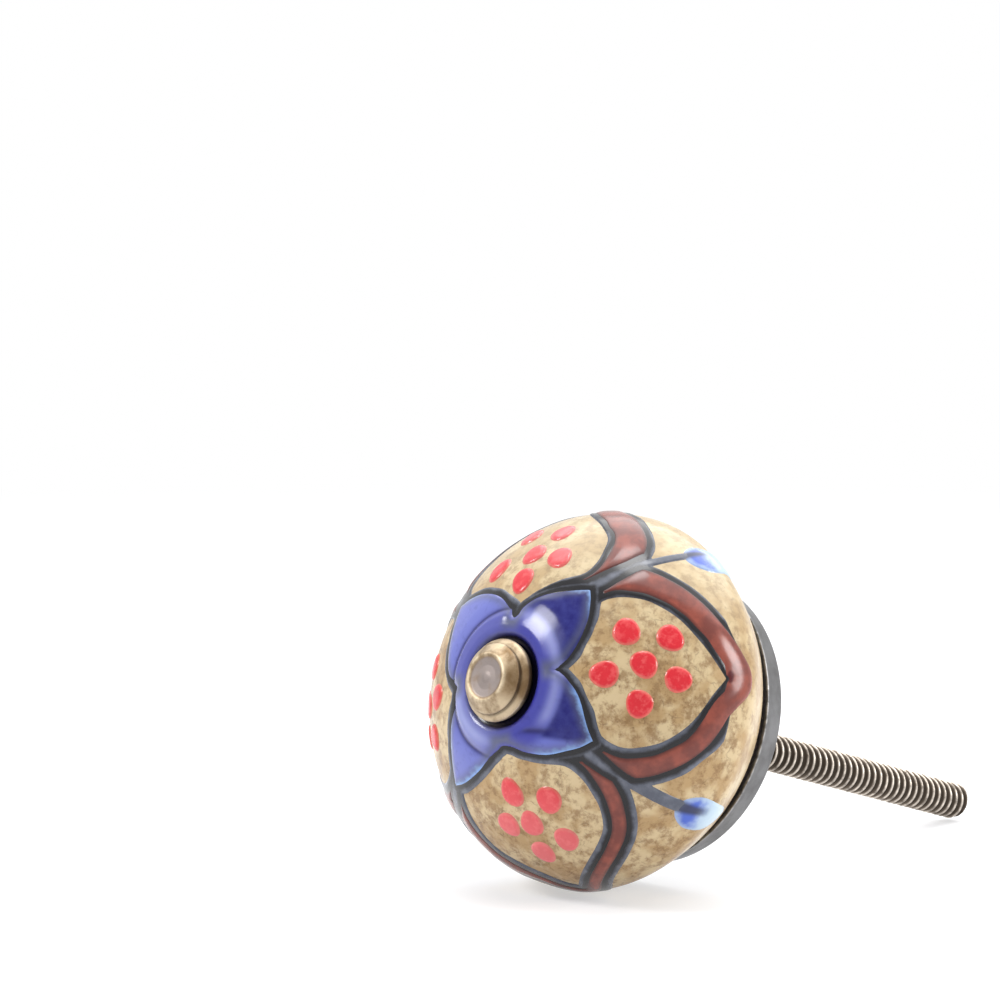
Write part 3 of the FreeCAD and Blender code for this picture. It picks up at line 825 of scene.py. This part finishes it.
# painted reflection: paler blue on the left petals and along the right petals' ridge, for the light they
# reflect
faded = leftSide * (0.12 + 0.5 * bell(fromScrew, 5.8, 0.8) * eased(-up, -0.5, 3.0))
faded = faded + rightSide * 0.4 * bell(fromScrew, 6.8, 0.6) * eased(up, -5.0, -3.0)
grey = eased(pattern.alone, -1.35, 0.05) * eased(fromScrew, 4.6, 5.8) * 0.8
bleed = np.maximum(eased(fromScrew, 10.3, 11.8),
                   eased(fromScrew, 7.5, 9.0) * eased(-up + side * 0.3, 1.0, 4.0))
wide, high = raised["petals"]
enamel("enamelPetals", petalGap, pillow(petalGap, wide, petalTop + high + skinWave),
       {"edge": petalGap, "fromScrew": fromScrew, "fold": fold * 0.9, "navy": navy, "bleed": bleed,
        "faded": faded, "grey": grey * eased(-petalGap, 0.0, 0.5)},
       blueEnamel(), "enamel_blue", "enamel_petals")

bandGap = pattern.band
wide, high = raised["bands"]
enamel("enamelBands", bandGap, pillow(bandGap, wide, high + skinWave),
       {"edge": bandGap - 0.5 * pattern.tip, "mark": pattern.mark},
       brownEnamel(), "enamel_brown", "enamel_bands")

dotGap = pattern.dot
wide, high = raised["dots"]
enamel("enamelDots", dotGap, pillow(dotGap, wide, high + skinWave),
       {"edge": dotGap, "fromMiddle": np.abs(up)},
       redEnamel(), "enamel_red", "enamel_dots")

pastRear = bodyLook["rear"] - height + 0.45   # the enamels end just before the rear edge
dropGap = np.maximum(pattern.drop, pastRear)
wide, high = raised["drops"]
enamel("enamelDrops", dropGap, pillow(dropGap, wide, high + skinWave),
       {"edge": dropGap, "down": pattern.dropDown, "stem": pattern.stem},
       paleBlueEnamel(), "enamel_pale_blue", "enamel_drops")

darkGap = np.maximum.reduce([
    pattern.dark, -pattern.petal - 0.4, -pattern.band - 0.4, -dropGap - 0.3, pastRear])
wide, high = raised["lines"]
enamel("enamelLines", darkGap, pillow(darkGap, wide, high + skinWave),
       {"pooled": np.maximum(np.minimum(pattern.band, pattern.petal), 0)},
       charcoalEnamel(), "enamel_black", "enamel_lines")

bpy.data.objects.remove(blank)


print("back plate")

plateLook = {"rear": 14.6, "mouth": 15.35, "height": 3.05, "sheet": 0.8, "hole": 2.25, "round": 0.22}


def darkSteel():
    look = {"base": srgb(112, 112, 113), "dark": srgb(74, 72, 72), "worn": srgb(160, 159, 158)}
    finish = Finish("gunmetal")
    patch = finish.noise(3.0, 4.0, 0.6)
    color = finish.mix(patch.ramp(0.35, 0.7) * 0.6, look["base"], look["dark"])
    # the paler rim is edge wear and a painted edge highlight
    color = finish.mix(finish.attribute("lip") * finish.noise(0.7, 3.0).ramp(0.35, 0.6), color, look["worn"])
    skin = finish.bump(finish.spun(0.25, 6.0, 1600.0, 3.0), 0.012)
    return finish.surface(base_color=color, metallic=0.85, roughness=patch * 0.2 + 0.32, normal=skin)


p = plateLook
plateSide = [
    (p["hole"], 0), (p["rear"], 0), (p["mouth"], p["height"]), (p["mouth"] - p["sheet"], p["height"]),
    (p["rear"] - p["sheet"], p["sheet"]), (p["hole"], p["sheet"]), (p["hole"], 0)]
plate = turned("backPlate", softened(plateSide, p["round"], 0.12, closed=True)[:-1], 200, bodyLook["lift"])
spots = places(plate) / mm
fromMiddle = np.hypot(spots[:, 0], spots[:, 2] - bodyLook["lift"])
lip = np.clip((-spots[:, 1] - p["height"] + 0.3) / 0.2, 0, 1)
note(plate, "lip", lip * np.clip((fromMiddle - p["mouth"] + 0.35) / 0.2, 0, 1))
smooth(plate, 50)
dress(plate, darkSteel(), "plate", "back_plate")


print("gasket")

gasketLook = {"outer": 14.92, "inner": 13.6, "low": 3.06, "high": 3.7, "ragged": 0.2}


def fibreAndGapShade():
    # the near-black base is the fibre's colour and also painted shade in the gap between the ceramic and the
    # plate
    look = {"base": srgb(26, 14, 12), "fibre": srgb(92, 40, 28), "dust": srgb(168, 132, 96)}
    finish = Finish("fibre and gap shade")
    thread = finish.noise(0.35, 4.0, 0.7)
    color = finish.mix(thread.ramp(0.58, 0.78), look["base"], look["fibre"])
    dust = finish.noise(0.5, 3.0, 0.6, finish.shifted(2, 2, 6)).ramp(0.7, 0.8)
    color = finish.mix(dust * 0.6, color, look["dust"])
    return finish.surface(base_color=color, roughness=0.95, normal=finish.bump(thread, 0.2))


g = gasketLook
gasketSide = [(g["inner"], g["low"]), (g["outer"], g["low"]), (g["outer"] - 0.05, (g["low"] + g["high"]) / 2),
              (g["outer"], g["high"]), (g["inner"], g["high"]), (g["inner"], g["low"])]
gasket = turned("gasketRing", even(gasketSide, 0.12)[:-1], 480)
spots = places(gasket) / mm
turnAt = np.arctan2(spots[:, 2], spots[:, 0])
outward = np.hypot(spots[:, 0], spots[:, 2])
ragged = (np.sin(37 * turnAt + 1) + np.sin(61 * turnAt + 2.5)
          + np.sin(97 * turnAt) + np.sin(151 * turnAt + spots[:, 1] * 9)) / 4
stretch = 1 + np.clip((outward - 14.6) / 0.3, 0, 1) * (ragged - 0.4) * g["ragged"] / outward
moveTo(gasket, np.c_[spots[:, 0] * stretch, spots[:, 1], spots[:, 2] * stretch + bodyLook["lift"]] * mm)
smooth(gasket, 60)
dress(gasket, fibreAndGapShade(), "gasket", "gasket")


print("threaded rod")

rodLook = {"radius": 2.0, "front": 26.6, "end": 49.6, "pitch": 1.058, "depth": 0.42, "chamfer": 0.6,
           "threadFrom": -0.4, "segments": 56, "rings": 900, "crest": 1.35, "flank": 4.6}


def bronzedBrass():
    look = {"crest": srgb(222, 211, 198), "flank": srgb(92, 82, 72), "groove": srgb(62, 55, 48)}
    finish = Finish("bronzed brass")
    high = finish.attribute("crest")
    patch = finish.noise(0.8, 4.0, 0.6)
    color = finish.mix(high.ramp(0.05, 0.55), look["groove"], look["flank"])
    color = finish.mix(high.ramp(0.6, 0.98) * patch.ramp(0.2, 0.7), color, look["crest"])
    return finish.surface(base_color=color, metallic=0.9, roughness=patch * 0.2 + 0.3,
                          normal=finish.bump(patch, 0.02))


r = rodLook
rod, ring, clock = wrapped("threadedRod", r["segments"], r["rings"])
start, end = -r["front"], r["end"]
frontCap, endCap = 0.003, 0.992               # shares of the rings where the flat ends begin
along = np.interp(ring, [0, frontCap, 0.02, 0.04, endCap, 1], [start, start, -1.5, -0.8, end, end])
core = np.interp(ring, [0, frontCap, endCap, 1], [0, r["radius"] - r["depth"], r["radius"], 0])
phase = (along / r["pitch"] - clock / (2 * math.pi)) % 1.0
crest = eased(r["crest"] - r["flank"] * np.abs(phase - 0.5), 0, 1)
crest = np.where(along < r["threadFrom"], 0, crest)
threadRadius = r["radius"] - r["depth"] * (1 - crest)
limit = np.interp(along, [end - r["chamfer"], end], [r["radius"], r["radius"] - r["chamfer"]])
threaded = (ring > frontCap) & (ring < endCap + 0.0005)
radiusNow = np.minimum(np.where(threaded, threadRadius, core), limit)
radiusNow = np.where((ring <= 0) | (ring >= 1), 0, radiusNow)
moveTo(rod, np.c_[radiusNow * np.cos(clock), along, -radiusNow * np.sin(clock)] * mm)
note(rod, "crest", np.where(ring > endCap, 0.6, crest))
weld(rod, turnOut=True)
smooth(rod, 70)
dress(rod, bronzedBrass(), "rod", "threaded_rod")


print("nut")

nutLook = {"flats": 7.0, "bore": 2.0, "from": 8.8, "thick": 3.2, "turn": 11.0, "chamfer": 0.45, "sink": 0.35,
           "worn": srgb(176, 168, 146), "base": srgb(118, 112, 92), "dark": srgb(76, 72, 60)}


def antiqueBrass(name, worn, base, dark, wornShare):
    look = {"dish": srgb(136, 126, 122), "brown": srgb(104, 80, 52), "grime": srgb(34, 26, 24)}
    finish = Finish(name)
    cloud = finish.noise(1.8, 4.0, 0.6)
    fine = finish.noise(0.3, 3.0, 0.6, finish.shifted(2, 4, 4))
    color = finish.mix(cloud.ramp(0.38, 0.62), dark, base)
    color = finish.mix(fine.ramp(0.45, 0.75) * 0.4, color, dark)
    # on the button this worn share also carries painted highlights on its top and bottom sides
    color = finish.mix(finish.attribute("worn") * wornShare * cloud.ramp(0.25, 0.6), color, worn)
    color = finish.mix(finish.attribute("dish") * cloud.ramp(0.15, 0.55), color, look["dish"])
    # painted shade: the brown share darkens the button's shaded right side
    color = finish.mix(finish.attribute("brown") * 0.6, color, look["brown"])
    # painted shade under the button's flange and in its groove
    color = finish.mix(finish.attribute("grime"), color, look["grime"])
    rings = finish.spun(0.2, 5.0, 2200.0, 2.0)
    return finish.surface(base_color=color, metallic=0.8, roughness=cloud * 0.2 + 0.4,
                          normal=finish.bump(rings * 0.5 + fine * 0.5, 0.018))


n = nutLook
corner = n["flats"] / math.sqrt(3)
run = (corner - n["flats"] / 2 + n["chamfer"]) * math.tan(math.radians(30))
halfNut = [(n["bore"], n["sink"]), (n["bore"] + n["sink"], 0), (n["flats"] / 2 - n["chamfer"], 0),
           (corner, run)]
nutSide = halfNut + [(a, n["thick"] - b) for a, b in reversed(halfNut)] + halfNut[:1]
nutRing = even(nutSide, 0.08)[:-1]
nut = turned("hexNut", np.c_[nutRing[:, 0], -n["from"] - nutRing[:, 1]], 180)
spots = places(nut) / mm
turnAt = np.arctan2(spots[:, 2], spots[:, 0])
outward = np.hypot(spots[:, 0], spots[:, 2])
sixth = math.radians(60)
fromFlat = (turnAt - math.radians(n["turn"] + 30) + sixth / 2) % sixth - sixth / 2
flat = n["flats"] / 2 / np.cos(fromFlat)
kept = np.minimum(outward, flat - 0.03 * np.clip((outward - flat), 0, 0.3))
moveTo(nut, np.c_[spots[:, 0] * kept / outward, spots[:, 1], spots[:, 2] * kept / outward] * mm)
note(nut, "worn", np.clip(1 - np.abs(outward - flat) / 0.12, 0, 1))
smooth(nut, 30)
dress(nut, antiqueBrass("nut brass", n["worn"], n["base"], n["dark"], 0.8), "nut", "hex_nut")


print("front button")

buttonLook = {
    "seat": 24.5, "round": 0.07, "turning": 0.012, "turningPitch": 0.16,
    "worn": srgb(218, 202, 174), "base": srgb(156, 134, 104), "dark": srgb(118, 95, 66),
    "side": [
        (0.0, 0.0), (3.6, 0.0), (3.9, 0.3), (4.08, 0.78), (4.1, 0.98), (4.05, 1.12), (3.95, 1.24),
        (3.78, 1.38), (3.6, 1.47), (3.44, 1.5), (3.38, 1.56), (3.42, 1.64), (3.5, 1.72), (3.5, 1.84),
        (3.42, 1.96), (3.28, 2.1), (3.1, 2.24), (2.92, 2.4), (2.74, 2.58), (2.58, 2.72), (2.46, 2.8),
        (2.34, 2.83), (2.2, 2.82), (2.08, 2.77), (1.9, 2.68), (1.2, 2.62), (0.6, 2.66), (0.3, 2.72),
        (0.0, 2.73)],
}
b = buttonLook
buttonSide = softened(b["side"], b["round"], 0.035)
buttonSide[0, 0] = buttonSide[-1, 0] = 0
radius, height = buttonSide.T
turning = b["turning"] * np.sin(height * 2 * math.pi / b["turningPitch"]) * (height > 1.0) * (radius > 2.4)
buttonSide[:, 0] -= np.abs(turning)
button = turned("frontButton", buttonSide + (0, b["seat"]), 144)
spots = places(button) / mm
high = -spots[:, 1] - b["seat"]
outward = np.hypot(spots[:, 0], spots[:, 2])
# wear and painted highlights: the dish's rim and the flange's edge are rubbed and lit, and the top and bottom
# sides are painted paler as highlights
wearAndHighlight = np.maximum.reduce([
    bell(outward, 2.35, 0.24) * (high > 2.5), bell(high, 0.85, 0.3) * (outward > 3.9),
    0.6 * eased(spots[:, 2], 0.4, 2.0) * (outward > 2.2),
    0.6 * eased(-spots[:, 2], 0.6, 2.2) * (outward > 2.2)])
# painted shade: near black under the flange's foot and in the groove above it
grime = np.maximum(1 - eased(high, 0.3, 0.7), 0.7 * bell(high, 1.55, 0.09) * (outward > 3.2))
dish = (1 - eased(outward, 1.85, 2.15)) * (high > 2)
# painted shade: a darker brown on the button's right side, where it lies in shade
brown = bell(np.arctan2(spots[:, 2], spots[:, 0]), 0.1, 0.5) * eased(outward, 2.5, 2.9)
for fact, values in {"worn": wearAndHighlight * (1 - brown), "grime": grime, "dish": dish, "brown": brown}.items():
    note(button, fact, values)
smooth(button, 60)
dress(button, antiqueBrass("button brass", b["worn"], b["base"], b["dark"], 0.85), "button", "front_button")


low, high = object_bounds()
print("finished")
